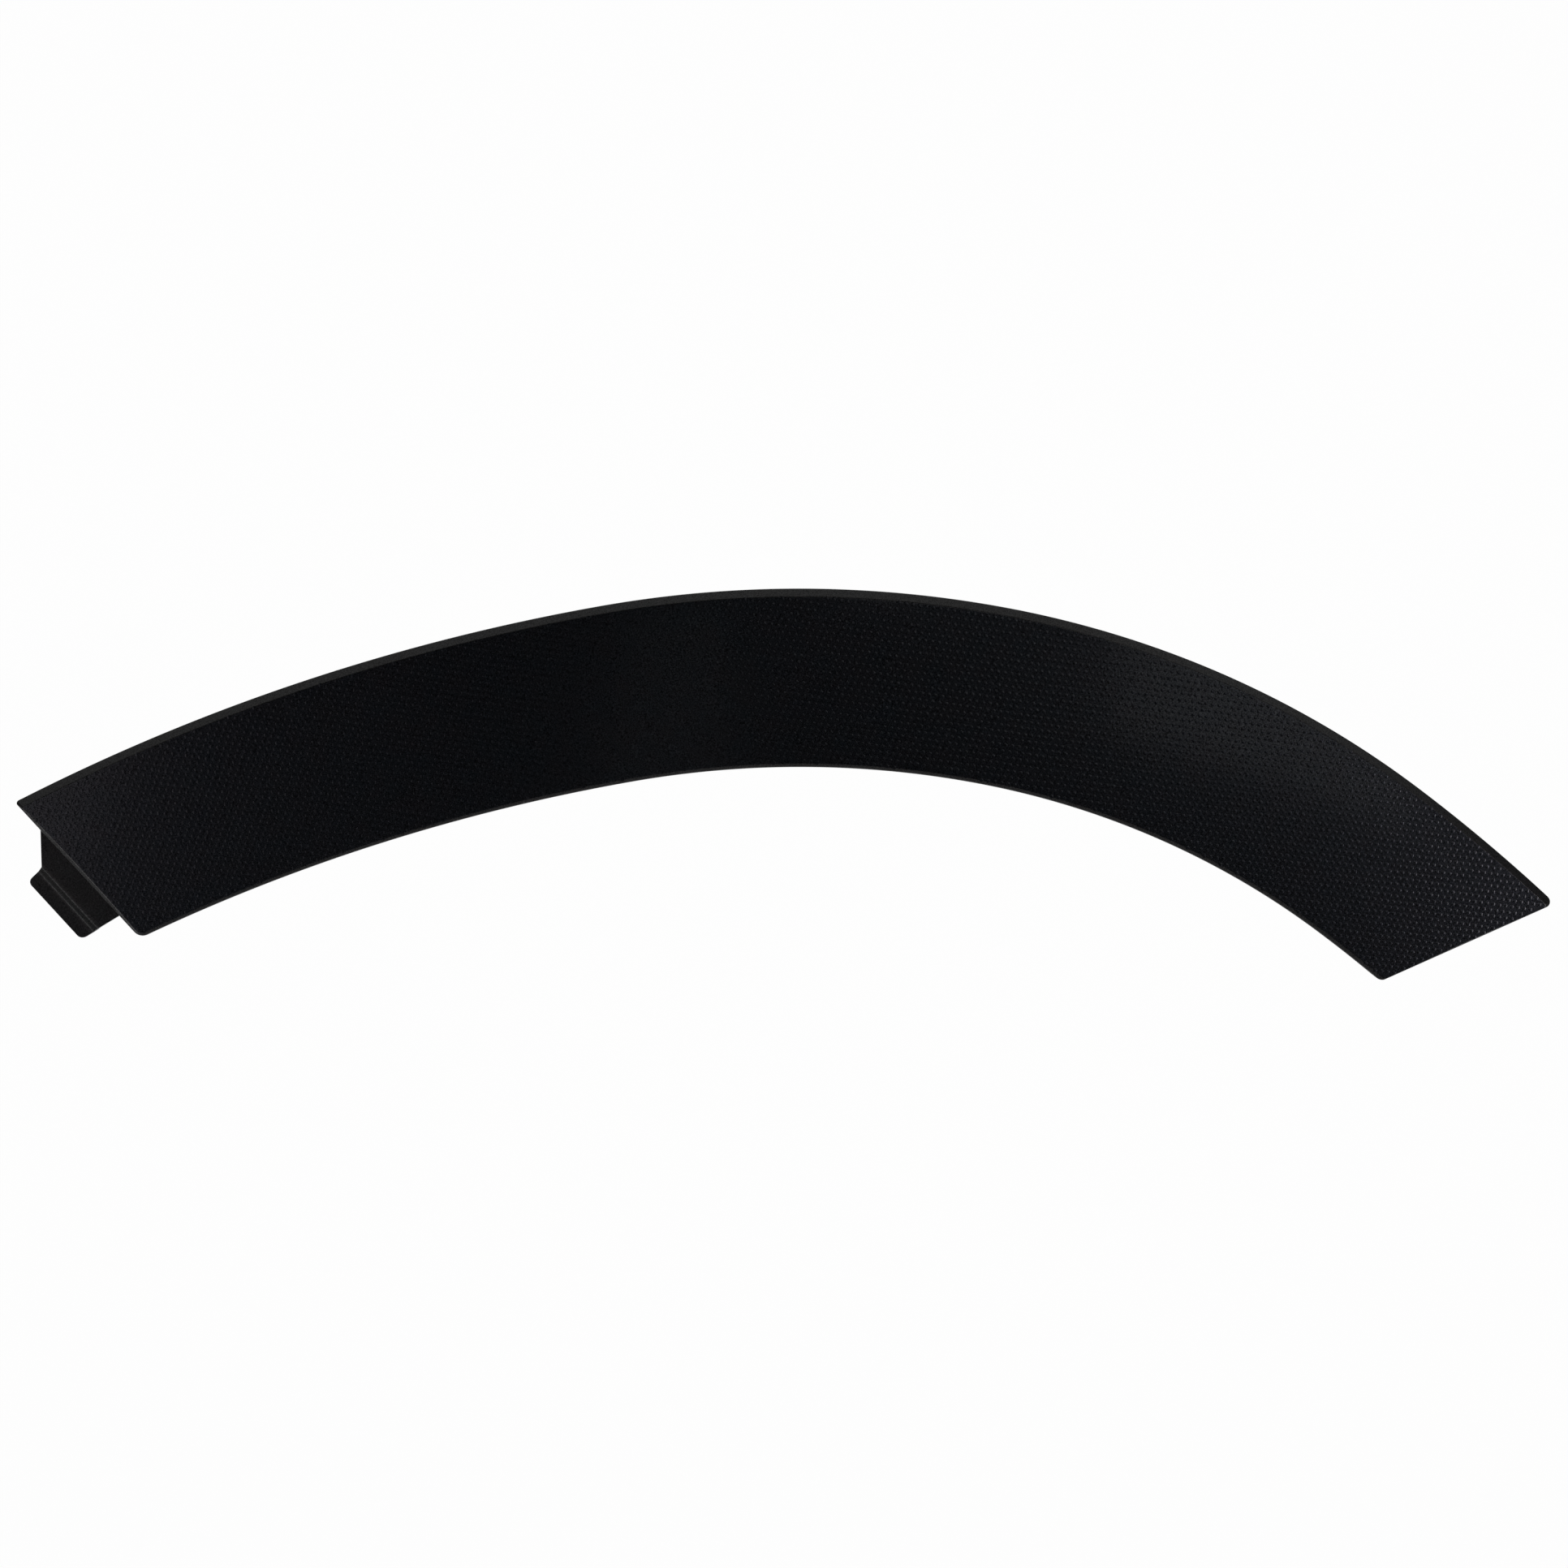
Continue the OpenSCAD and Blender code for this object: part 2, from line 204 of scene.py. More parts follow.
def station_on_cut(end, inset, u):
    """The s at which the line u crosses the cut, moved in by an inset. Newton's method."""
    s = end * REACH[end] + 0 * np.asarray(u, float)
    for _ in range(8):
        miss = beyond_cut(end, placed(s, 0, 0, u)) + inset
        slope = beyond_cut(end, placed(s + 0.5, 0, 0, u)) - beyond_cut(end, placed(s - 0.5, 0, 0, u))
        s = s - miss / slope
    return s


def station(share):
    """Distance along the upper edge for a share of the way to an outer clip seat."""
    return share * np.where(np.asarray(share) < 0, LEFT_REACH - LEFT_SEAT_GAP,
                            RIGHT_REACH - RIGHT_SEAT_GAP)


def bent(a, corner, b, steps):
    """Points on the circular arc from a to b that touches both sides of a corner.

    A rational parabola with the weight cos(turn / 2) is that arc. Works on arrays of corners.
    """
    d1, d2 = corner - a, b - corner
    lengths = np.linalg.norm(d1, axis=-1) * np.linalg.norm(d2, axis=-1)
    cosine = (d1 * d2).sum(-1) / np.maximum(lengths, 1e-12)
    weight = np.sqrt((1 + np.clip(cosine, -1, 1)) / 2)[..., None]
    t = np.linspace(0, 1, steps + 1).reshape((-1,) + (1,) * np.ndim(a))
    k0, k1, k2 = (1 - t) ** 2, 2 * t * (1 - t) * weight, t ** 2
    return (k0 * a + k1 * corner + k2 * b) / (k0 + k1 + k2)


def outline(low, right, top, left, radii):
    """A closed outline on the band, anticlockwise from the middle of its lower left corner.

    The long sides keep a distance from the edges and the ends a distance from the cuts, which
    may be functions of u. Each corner is an arc of its own radius. Returns s and u.
    """
    inset = {end: d if callable(d) else lambda u, d=d: d for end, d in ((-1, left), (1, right))}
    corners = {}
    for (end, upper), radius in zip(CORNERS, radii):
        u = -top if upper else low - BAND
        s = station_on_cut(end, inset[end](u), u)
        edge_radius = END_RADIUS[end]
        lower_skew = np.arcsin(edge_radius * np.sin(SKEW[end]) / (edge_radius - BAND))
        skew = SKEW[end] if upper else lower_skew
        inner_angle = np.pi / 2 + (-skew if upper else skew)
        reach = radius / np.tan(inner_angle / 2)
        on_edge = np.array([s - end * reach / stretch(s, u), u])
        u_cut = u + (-1 if upper else 1) * reach * np.cos(skew)
        on_cut = np.array([station_on_cut(end, inset[end](u_cut), u_cut), u_cut])
        scale = np.array([stretch(s, u), 1.0])
        arc = bent(on_edge * scale, np.array([s, u]) * scale, on_cut * scale, 2 * TURN + 2)
        corners[end, upper] = arc / scale
    low_left, low_right, top_right, top_left = (corners[key] for key in CORNERS)
    low_side = np.linspace(low_left[0], low_right[0], ALONG)
    top_side = np.linspace(top_right[0], top_left[0], ALONG)

    def cut(end, u0, u1):
        u = np.linspace(u0, u1, ACROSS)
        return np.stack([station_on_cut(end, inset[end](u), u), u], -1)

    right_side = cut(1, low_right[-1][1], top_right[-1][1])
    left_side = cut(-1, top_left[-1][1], low_left[-1][1])
    half = TURN + 1
    return np.concatenate([
        low_left[half:0:-1], low_side, low_right[1:-1], right_side, top_right[-2:0:-1], top_side,
        top_left[1:-1], left_side, low_left[-2:half:-1]]).T


def per_side(low, right, top, left):
    """One value for each point of an outline: constant on a side and blended over the corners."""
    values = (low, ALONG), (right, ACROSS), (top, ALONG), (left, ACROSS)
    sides = [value * np.ones(count) for value, count in values]
    steps = 2 * TURN + 3
    turns = [np.linspace(a[-1], b[0], steps)[1:-1] for a, b in zip(sides, sides[1:] + sides[:1])]
    return np.roll(np.concatenate([part for pair in zip(sides, turns) for part in pair]), TURN)


def spanned(loop):
    """A grid of points between the four sides of an outline, by transfinite interpolation."""
    n, m = LONG_SIDE, SHORT_SIDE
    ring = np.concatenate([loop, loop[:, :1]], axis=1)
    low, right = ring[:, :n + 1], ring[:, n:n + m + 1]
    top, left = ring[:, n + m:2 * n + m + 1][:, ::-1], ring[:, 2 * n + m:][:, ::-1]
    a = np.linspace(0, 1, n + 1)[None, :, None]
    b = np.linspace(0, 1, m + 1)[None, None, :]
    low, top, left, right = low[:, :, None], top[:, :, None], left[:, None, :], right[:, None, :]
    corners = ((1 - a) * (1 - b) * low[:, :1] + a * (1 - b) * low[:, -1:]
               + (1 - a) * b * top[:, :1] + a * b * top[:, -1:])
    return (1 - b) * low + b * top + (1 - a) * left + a * right - corners


class Shell:
    """Collects points and faces of one piece in millimetres, then writes them as a mesh."""

    def __init__(self):
        self.points = np.zeros((0, 3))
        self.faces = []

    def add(self, points):
        """Adds an array of points and returns their numbers in the same shape."""
        points = np.asarray(points, float)
        start = len(self.points)
        self.points = np.concatenate([self.points, points.reshape(-1, 3)])
        return start + np.arange(points.size // 3).reshape(points.shape[:-1])

    def grid(self, ids, flip=False, skip=None):
        """Adds the quads of a grid of numbered points, apart from those in a mask."""
        quads = np.stack([ids[:-1, :-1], ids[1:, :-1], ids[1:, 1:], ids[:-1, 1:]], -1)
        quads = quads[~skip] if skip is not None else quads.reshape(-1, 4)
        self.faces += (quads[:, ::-1] if flip else quads).tolist()

    def write(self, name, *finishes):
        """Makes the object, with normals weighted by the area of the faces around a point.

        Each finish is the number of its first face and the material of the faces from there on.
        """
        mesh = bpy.data.meshes.new(name)
        mesh.from_pydata((self.points * 0.001).tolist(), [], [tuple(dict.fromkeys(f)) for f in self.faces])
        mesh.validate()
        mesh.update()
        if len(mesh.polygons) != len(self.faces):
            raise RuntimeError("some faces of " + name + " have no area")
        slots = np.zeros(len(mesh.polygons), int)
        for number, (start, material) in enumerate(finishes):
            mesh.materials.append(material)
            slots[start:] = number
        mesh.polygons.foreach_set("material_index", slots)
        mesh.shade_smooth()
        corner = np.zeros(len(mesh.loops), int)
        mesh.loops.foreach_get("vertex_index", corner)
        normals, areas = np.zeros(len(mesh.polygons) * 3), np.zeros(len(mesh.polygons))
        mesh.polygons.foreach_get("normal", normals)
        mesh.polygons.foreach_get("area", areas)
        sizes = np.zeros(len(mesh.polygons), int)
        mesh.polygons.foreach_get("loop_total", sizes)
        weighted = np.repeat(normals.reshape(-1, 3) * areas[:, None], sizes, axis=0)
        total = np.zeros((len(mesh.vertices), 3))
        np.add.at(total, corner, weighted)
        total /= np.maximum(np.linalg.norm(total, axis=1), 1e-20)[:, None]
        mesh.normals_split_custom_set_from_vertices(total.tolist())
        piece = bpy.data.objects.new(name, mesh)
        bpy.context.scene.collection.objects.link(piece)
        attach(piece, "root")
        return piece


def rounded_rows(keys, cuts, extra=None, steps=4):
    """Rows of a surface that runs over key rows, with each inner key rounded off.

    cuts gives how far each rounding reaches along both sides. extra gives shares between two
    keys at which plain rows are added. Returns the rows and the numbers of the added ones.
    """
    rows, added = [keys[0]], []
    for i in range(1, len(keys)):
        before, here = keys[i - 1], keys[i]
        for share in (extra or {}).get(i, ()):
            added.append(len(rows))
            rows.append(before + share * (here - before))
        if i == len(keys) - 1:
            rows.append(here)
            break
        after = keys[i + 1]
        d1, d2 = here - before, after - here
        n1, n2 = np.linalg.norm(d1, axis=-1), np.linalg.norm(d2, axis=-1)
        n1, n2 = np.maximum(n1, 1e-9), np.maximum(n2, 1e-9)
        t = np.minimum(cuts[i - 1], 0.499 * np.minimum(n1, n2))[..., None]
        a, b = here - t * d1 / n1[..., None], here + t * d2 / n2[..., None]
        rows += list(bent(a, here, b, steps))
    return np.array(rows), added


def settings():
    """The settings that the panel shows."""
    return bpy.context.scene.arch_trim


class TrimGrain(bpy.types.PropertyGroup):
    """The moulded grain: rows of small round pips."""
    height: FloatProperty(name="Pip height", description="How far a pip stands out of the ground",
                          default=0.000088, min=0.00002, max=0.0005, unit="LENGTH", precision=5)
    fade: FloatProperty(name="Left share", description="Height of the pips at the left end as a share",
                        default=0.35, min=0.1, max=1, subtype="FACTOR")
    width: FloatProperty(name="Pip width", description="Diameter of a pip at its foot",
                         default=0.0017, min=0.0008, max=0.0026, unit="LENGTH", precision=5)
    sides: IntProperty(name="Pip sides", description="Number of sides of a pip", default=12, min=6, max=16)


class TrimPlastic(bpy.types.PropertyGroup):
    """The plastic's finish."""
    colour: FloatVectorProperty(name="Plastic", description="Colour of the moulded plastic", size=3,
                                default=(0.0011, 0.0012, 0.0013), min=0, max=1, subtype="COLOR")
    gloss: FloatProperty(name="Roughness", description="Roughness of the smooth parts",
                         default=0.34, min=0.1, max=1, subtype="FACTOR")
    face_gloss: FloatProperty(name="Face roughness", description="Roughness of the grained face",
                              default=0.36, min=0.1, max=1, subtype="FACTOR")
    skin: FloatProperty(name="Moulding skin", default=0.16, min=0, max=1, subtype="FACTOR",
                        description="Share of the surface that is pressed flat and glossy")
    skin_gloss: FloatProperty(name="Skin roughness", description="Roughness of the glossy share",
                              default=0.13, min=0.05, max=1, subtype="FACTOR")
    shine: FloatProperty(name="Shine", description="Specular level of the face",
                         default=0.16, min=0, max=1, subtype="FACTOR")


class TrimStudio(bpy.types.PropertyGroup):
    """Floor, backdrop and lamps."""
    floor: FloatProperty(name="Floor", description="Height of the floor", default=-0.9, unit="LENGTH")
    keys: FloatVectorProperty(name="Key lamps", description="Power of the high, overhead and end softbox",
                              default=(0.55, 12.0, 3.0), size=3, min=0)
    sides: FloatVectorProperty(name="Side lamps", description="Power of the left, right and back softbox",
                               default=(6.6, 11.8, 8.0), size=3, min=0)
    sheens: FloatVectorProperty(name="Sheen strips", description="Power of the middle and right strip",
                                default=(0.16, 1.42), size=2, min=0)
    fill_power: FloatProperty(name="Soft fill", default=6, min=0, unit="POWER",
                              description="Power of the fill, which shows in no reflection")


class TrimSettings(bpy.types.PropertyGroup):
    """All settings of the trim."""
    grain: PointerProperty(type=TrimGrain)
    plastic: PointerProperty(type=TrimPlastic)
    studio: PointerProperty(type=TrimStudio)


class Wire:
    """A socket of a shader tree, on which plain arithmetic adds Math nodes."""

    def __init__(self, paint, socket):
        self.paint, self.socket = paint, socket

    def _math(self, operation, a, b):
        return self.paint.node("ShaderNodeMath", {"operation": operation}, {0: a, 1: b})

    def __add__(self, other):
        return self._math("ADD", self, other)

    def __sub__(self, other):
        return self._math("SUBTRACT", self, other)

    def __rsub__(self, other):
        return self._math("SUBTRACT", other, self)

    def __mul__(self, other):
        return self._math("MULTIPLY", self, other)

    __radd__, __rmul__ = __add__, __mul__


class Paint:
    """Makes the nodes of one material or world."""

    def __init__(self, owner):
        owner.use_nodes = True
        self.tree = owner.node_tree
        self.tree.nodes.clear()

    def node(self, kind, values=None, sockets=None, out=0):
        """Adds a node, sets it up, fills or links its sockets and returns an output."""
        made = self.tree.nodes.new(kind)
        for key, value in (values or {}).items():
            setattr(made, key, value)
        for key, value in (sockets or {}).items():
            if isinstance(value, Wire):
                self.tree.links.new(value.socket, made.inputs[key])
            else:
                made.inputs[key].default_value = value
        return Wire(self, made.outputs[out]) if made.outputs else made


def plastic(name, roughness, speckle, bump, shine, skin, glint):
    """Black moulded plastic: a dark colour with cloudy shifts between a cold and a warm black,
    fine specks that are matt or shiny and a slow waviness that breaks up its gloss."""
    material = bpy.data.materials.new(name)
    paint = Paint(material)
    style = settings().plastic
    colour = np.array(style.colour)
    place = paint.node("ShaderNodeTexCoord", out="Object")
    cloud = paint.node("ShaderNodeTexNoise", {}, {"Vector": place, "Scale": 14.0, "Detail": 3.0}, "Fac")
    blotch = paint.node("ShaderNodeTexNoise", {}, {"Vector": place, "Scale": 110.0, "Detail": 3.0}, "Fac")
    fine = paint.node("ShaderNodeTexNoise", {}, {"Vector": place, "Scale": 2300.0, "Detail": 1.0}, "Fac")
    wave = paint.node("ShaderNodeTexNoise", {}, {"Vector": place, "Scale": 60.0, "Detail": 2.0}, "Fac")
    grit = (fine - 0.5) * speckle + 0.5
    tint = paint.node("ShaderNodeMix", {"data_type": "RGBA"}, {
        "Factor": (blotch - 0.5) * 2.5 + (cloud - 0.5) + 0.5,
        "A": (*(colour * (0.7, 1.05, 1.2)), 1), "B": (*(colour * (1.3, 0.95, 0.9)), 1)}, 2)
    shade = paint.node("ShaderNodeVectorMath", {"operation": "SCALE"}, {0: tint, "Scale": grit + 0.5})
    dull = (fine - 0.5) * 0.1 + (cloud - 0.5) * 0.08 + roughness
    relief = paint.node("ShaderNodeBump", {}, {"Height": fine + wave * 3.0, "Strength": bump,
                                               "Distance": 0.00004}, "Normal")
    common = {"Base Color": shade, "Roughness": dull, "Normal": relief, "IOR": 1.48,
              "Specular Tint": glint, "Coat Tint": glint, "Coat Roughness": style.skin_gloss}
    matt = paint.node("ShaderNodeBsdfPrincipled", {}, {**common, "Specular IOR Level": shine * 0.25})
    shiny = paint.node("ShaderNodeBsdfPrincipled", {}, {
        **common, "Specular IOR Level": shine * 1.75, "Coat Weight": skin * 2})
    mixed = paint.node("ShaderNodeMixShader", {}, {0: grit, 1: matt, 2: shiny})
    paint.node("ShaderNodeOutputMaterial", {}, {"Surface": mixed})
    return material


def finish_of(name):
    """The material of that name, made the first time it is asked for."""
    made = bpy.data.materials.get(name)
    if made is None:
        style = settings().plastic
        cold, white = (0.8, 0.87, 1, 1), (1, 1, 1, 1)
        made = plastic(name, *{
            "smooth_plastic": (style.gloss, 1.6, 0.35, 0.36, 0.0, white),
            "face_plastic": (style.face_gloss, 2.4, 0.6, style.shine, style.skin, cold),
            "tongue_plastic": (style.gloss, 1.8, 0.5, style.shine * 0.9, 0.0, white),
            "pip_plastic": (style.face_gloss, 1.6, 0.3, style.shine, style.skin * 1.1, cold)}[name])
    return made


def face_outline(extra=0.0):
    """Outline of the grained face, where the bevel, the rounding and the chamfers begin."""
    depth = ground_depth()

    def chamfered(end):
        return lambda u: np.maximum(0.3, CHAMFER[end] - face_level(u) - depth) + extra

    radii = (FACE_RADII[0] - extra, *FACE_RADII[1:])
    return outline(EDGE_REACH + extra, chamfered(1), BEVEL_WIDTH + extra, chamfered(-1), radii)


def ground_depth():
    """How far the ground between the pips lies behind the CAD face, so that their tops meet it."""
    return settings().grain.height * 1000


class ARCH_OT_moulding(bpy.types.Operator):
    """Build the moulding: face, bevel, rounded edges, lip, flange, end walls and screw holes"""
    bl_idname = "arch_trim.moulding"
    bl_label = "Moulding"

    def execute(self, context):
        depth = ground_depth()
        walls = np.array([FLANGE_WALL, END_WALL, LIP_WALL, END_WALL])
        outer = outline(0, 0, 0, 0, OUTER_RADII)
        front = face_outline()
        face = face_outline(1.0)
        rim = outline(FLANGE_LEAN, 0, 0, 0, OUTER_RADII)
        inner_rim = outline(*(walls + [FLANGE_LEAN, 0, 0, 0]), INNER_RADII)
        inner = outline(*walls, INNER_RADII)
        well = outline(*(walls + WELL_CURVE), WELL_RADII)
        shoulder = per_side(face_level(-BAND) + depth + EDGE_REACH, 1.0, BEVEL_DROP, CHAMFER[-1])
        shoulder = np.maximum(shoulder, face_level(outer[1]) + depth + 0.25)

        def on(loop, level):
            return placed(loop[0], 0, level, loop[1])

        keys = [on(face, face_level(face[1]) + depth), on(front, face_level(front[1]) + depth),
                on(outer, shoulder), on(rim, back_level(rim[1])), on(inner_rim, back_level(inner_rim[1])),
                on(inner, inner_level(inner[1])), on(well, inner_level(well[1]))]
        cuts = [per_side(0.83, 0.2, 0.35, 0.3), per_side(0.83, 0.25, 0.5, 0.4), 0.5, 0.5, 0.8]
        # rows between which the windows of the screw holes lie, outside and inside the flange
        rows, (top_row, low_row, low_in, top_in) = rounded_rows(
            keys, cuts, {3: (0.094, 0.937), 5: (0.05, 0.932)})
        shell = Shell()
        ids = shell.add(rows)
        ring = np.concatenate([ids, ids[:, :1]], axis=1)
        skip = np.zeros((len(rows) - 1, ring.shape[1] - 1), bool)
        low_side = outer[0][:LONG_SIDE]
        for k in range(SCREWS):
            s = station(SCREW_SPREAD * (2 * k / (SCREWS - 1) - 1))
            first, last = (int(np.argmin(np.abs(low_side - s - way * HOLE_WINDOW))) for way in (-1, 1))
            skip[top_row:low_row, first:last] = True
            skip[low_in:top_in, first:last] = True
            self.hole(shell, ring, s, first, last, (top_row, low_row), (top_in, low_in))
        shell.grid(ring, skip=skip)
        self.fill(shell, well, inner_level(spanned(well)[1]), ids[-1], True)
        face_start = len(shell.faces)
        self.fill(shell, face, face_level(spanned(face)[1]) + depth, ids[0], False)
        smooth, grained = finish_of("smooth_plastic"), finish_of("face_plastic")
        # the first four rows round the face off and share its finish
        piece = shell.write("moulding", (0, grained), (4 * ids.shape[1], smooth), (face_start, grained))
        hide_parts("arch_trim")
        return {"FINISHED"}

    def fill(self, shell, loop, level, row, flip):
        """Closes an outline with a grid at a depth, whose border takes up the outline's points."""
        s, u = spanned(loop)
        numbers = shell.add(placed(s, 0, level, u))
        n, m = LONG_SIDE, SHORT_SIDE
        closed = np.append(row, row[0])
        numbers[:, 0], numbers[-1, :] = closed[:n + 1], closed[n:n + m + 1]
        numbers[:, -1], numbers[0, :] = closed[n + m:2 * n + m + 1][::-1], closed[2 * n + m:][::-1]
        shell.grid(numbers, flip=flip)

    def hole(self, shell, ring, s, first, last, outer_rows, inner_rows):
        """A screw hole: loops run from a window in the flange's outer side, in through the
        hole, over the raised pad and out to the window in its inner side."""

        def window(top, low):
            step = 1 if low > top else -1
            rows = np.arange(top, low + step, step)
            columns = np.arange(first, last + 1)
            return np.concatenate([ring[top, columns[:-1]], ring[rows[:-1], last],
                                   ring[low, columns[:0:-1]], ring[rows[:0:-1], first]])

        near, far = window(*outer_rows), window(*inner_rows)
        centre = placed(s, 0, SCREW_DEPTH, -BAND)
        along = placed(s, 1, SCREW_DEPTH, -BAND) - centre
        deep = placed(s, 0, SCREW_DEPTH + 1, -BAND) - centre
        up = placed(s, 0, SCREW_DEPTH, -BAND + 1) - centre

        def angles(numbers):
            flat = shell.points[numbers] - centre
            return np.arctan2(flat @ deep, flat @ along)

        def circle(radius, height):
            across = np.cos(turn)[:, None] * along + np.sin(turn)[:, None] * deep
            return centre + radius * across + height * up

        start, end = angles(near), angles(far)
        difference = np.abs(np.angle(np.exp(1j * (start - end)))).max()
        if len(near) != len(far) or difference > 0.7:
            raise RuntimeError("the two windows of a screw hole don't match")
        way = np.sign(np.angle(np.exp(1j * (start[1] - start[0]))))
        turn = start[0] + way * np.linspace(0, 2 * np.pi, len(near) + 1)[:-1]
        radii = SCREW_RADIUS, PAD_RADIUS
        small, large = (leant_in(SCREW_DEPTH + radius * np.sin(turn))[:, None] for radius in radii)
        keys = [shell.points[near], circle(SCREW_RADIUS, small), circle(SCREW_RADIUS, PAD_TOP),
                circle(PAD_RADIUS, PAD_TOP), circle(PAD_RADIUS, FLANGE_WALL + large), shell.points[far]]
        rows, _ = rounded_rows(keys, [0.25, 0.25, 0.35, 0.3], {1: (0.6,)}, steps=3)
        inner = shell.add(rows[1:-1])
        numbers = np.concatenate([near[None], inner, far[None]])
        numbers = np.concatenate([numbers, numbers[:, :1]], axis=1)
        shell.grid(numbers)


class ARCH_OT_grain(bpy.types.Operator):
    """Build the grain: pips, each a low paraboloid, on a slanting lattice that follows the face"""
    bl_idname = "arch_trim.grain"
    bl_label = "Grain"

    def execute(self, context):
        style = settings().grain
        s, u = self.centres()
        ground, height, foot = ground_depth(), style.height * 1000, style.width * 500
        turn = np.linspace(0, 2 * np.pi, style.sides + 1)[:-1]
        share = np.array([1.0, 0.7, 0.35])
        t = np.clip((s + LEFT_REACH) / LEFT_REACH, 0, 1)
        height = height * (style.fade + (1 - style.fade) * t * t * (3 - 2 * t))
        heights = height[:, None] * (1 - share ** 2) - [0.012, 0, 0]
        ring_s = s[:, None, None] + foot * share[:, None] * np.cos(turn) / stretch(s, u)[:, None, None]
        ring_u = u[:, None, None] + foot * share[:, None] * np.sin(turn)
        rings = placed(ring_s, 0, face_level(ring_u) + ground - heights[:, :, None], ring_u)
        tops = placed(s, 0, face_level(u) + ground - height, u)
        for name, part in (("grain_left", s < station(0.05)), ("grain_right", s >= station(0.05))):
            shell = Shell()
            ids = shell.add(rings[part])
            top = shell.add(tops[part])
            outer, inner = ids[:, :-1], ids[:, 1:]
            next_outer, next_inner = np.roll(outer, -1, axis=2), np.roll(inner, -1, axis=2)
            quads = np.stack([outer, next_outer, next_inner, inner], -1)
            caps = np.stack([inner[:, -1], next_inner[:, -1],
                             np.repeat(top[:, None], style.sides, axis=1)], -1)
            shell.faces = quads.reshape(-1, 4).tolist() + caps.reshape(-1, 3).tolist()
            shell.write(name, (0, finish_of("pip_plastic")))
        return {"FINISHED"}

    def phases(self, s, u):
        """Row and column numbers of the lattice at a point of the face.

        Both are sums of x, z and the products x z and z z in decimetres, which gives rows
        that sink slowly to the right and draw closer towards both ends.
        """
        p = placed(s, 0, face_level(u), u) / 100
        x, z = p[..., 0], p[..., 2]
        rows = -5.50 * x - 38.04 * z + 0.33 * x * z + 2.40 * z * z
        columns = 34.85 * x - 15.73 * z - 1.45 * x * z + 0.58 * z * z
        return np.stack([rows, columns], -1)

    def centres(self):
        """Points of the face at which both phases are whole numbers. Newton's method."""
        s, u = np.meshgrid(np.linspace(-LEFT_REACH, RIGHT_REACH, 130), np.linspace(-BAND, 0, 12))
        s, u = s.ravel(), u.ravel()
        known = self.phases(s, u)
        low, high = np.floor(known.min(0)).astype(int), np.ceil(known.max(0)).astype(int)
        lattice = np.meshgrid(np.arange(low[0], high[0]), np.arange(low[1], high[1]))
        wanted = np.stack(lattice, -1).reshape(-1, 2)
        nearest = np.concatenate([
            np.argmin(((block[:, None] - known[None]) ** 2).sum(-1), axis=1)
            for block in np.array_split(wanted, 1 + len(wanted) // 2000)])
        close = ((known[nearest] - wanted) ** 2).sum(-1) < 9
        wanted, s, u = wanted[close], s[nearest[close]], u[nearest[close]]
        for _ in range(6):
            miss = self.phases(s, u) - wanted
            by_s = self.phases(s + 0.5, u) - self.phases(s - 0.5, u)
            by_u = self.phases(s, u + 0.5) - self.phases(s, u - 0.5)
            area = by_s[:, 0] * by_u[:, 1] - by_s[:, 1] * by_u[:, 0]
            s = s - (miss[:, 0] * by_u[:, 1] - miss[:, 1] * by_u[:, 0]) / area
            u = np.clip(u - (by_s[:, 0] * miss[:, 1] - by_s[:, 1] * miss[:, 0]) / area, -BAND - 20, 20)
        inside = self.inside(s, u, face_outline(0.45))
        return s[inside], u[inside]

    def inside(self, s, u, border):
        """Which points lie in a closed outline: a ray from them crosses it an odd number of times."""
        s0, u0 = border
        s1, u1 = np.roll(s0, -1), np.roll(u0, -1)
        spans = (u0[None] > u[:, None]) != (u1[None] > u[:, None])
        with np.errstate(divide="ignore", invalid="ignore"):
            cross = s0[None] + (u[:, None] - u0[None]) * (s1 - s0)[None] / (u1 - u0)[None]
        return (spans & (s[:, None] < cross)).sum(1) % 2 == 1


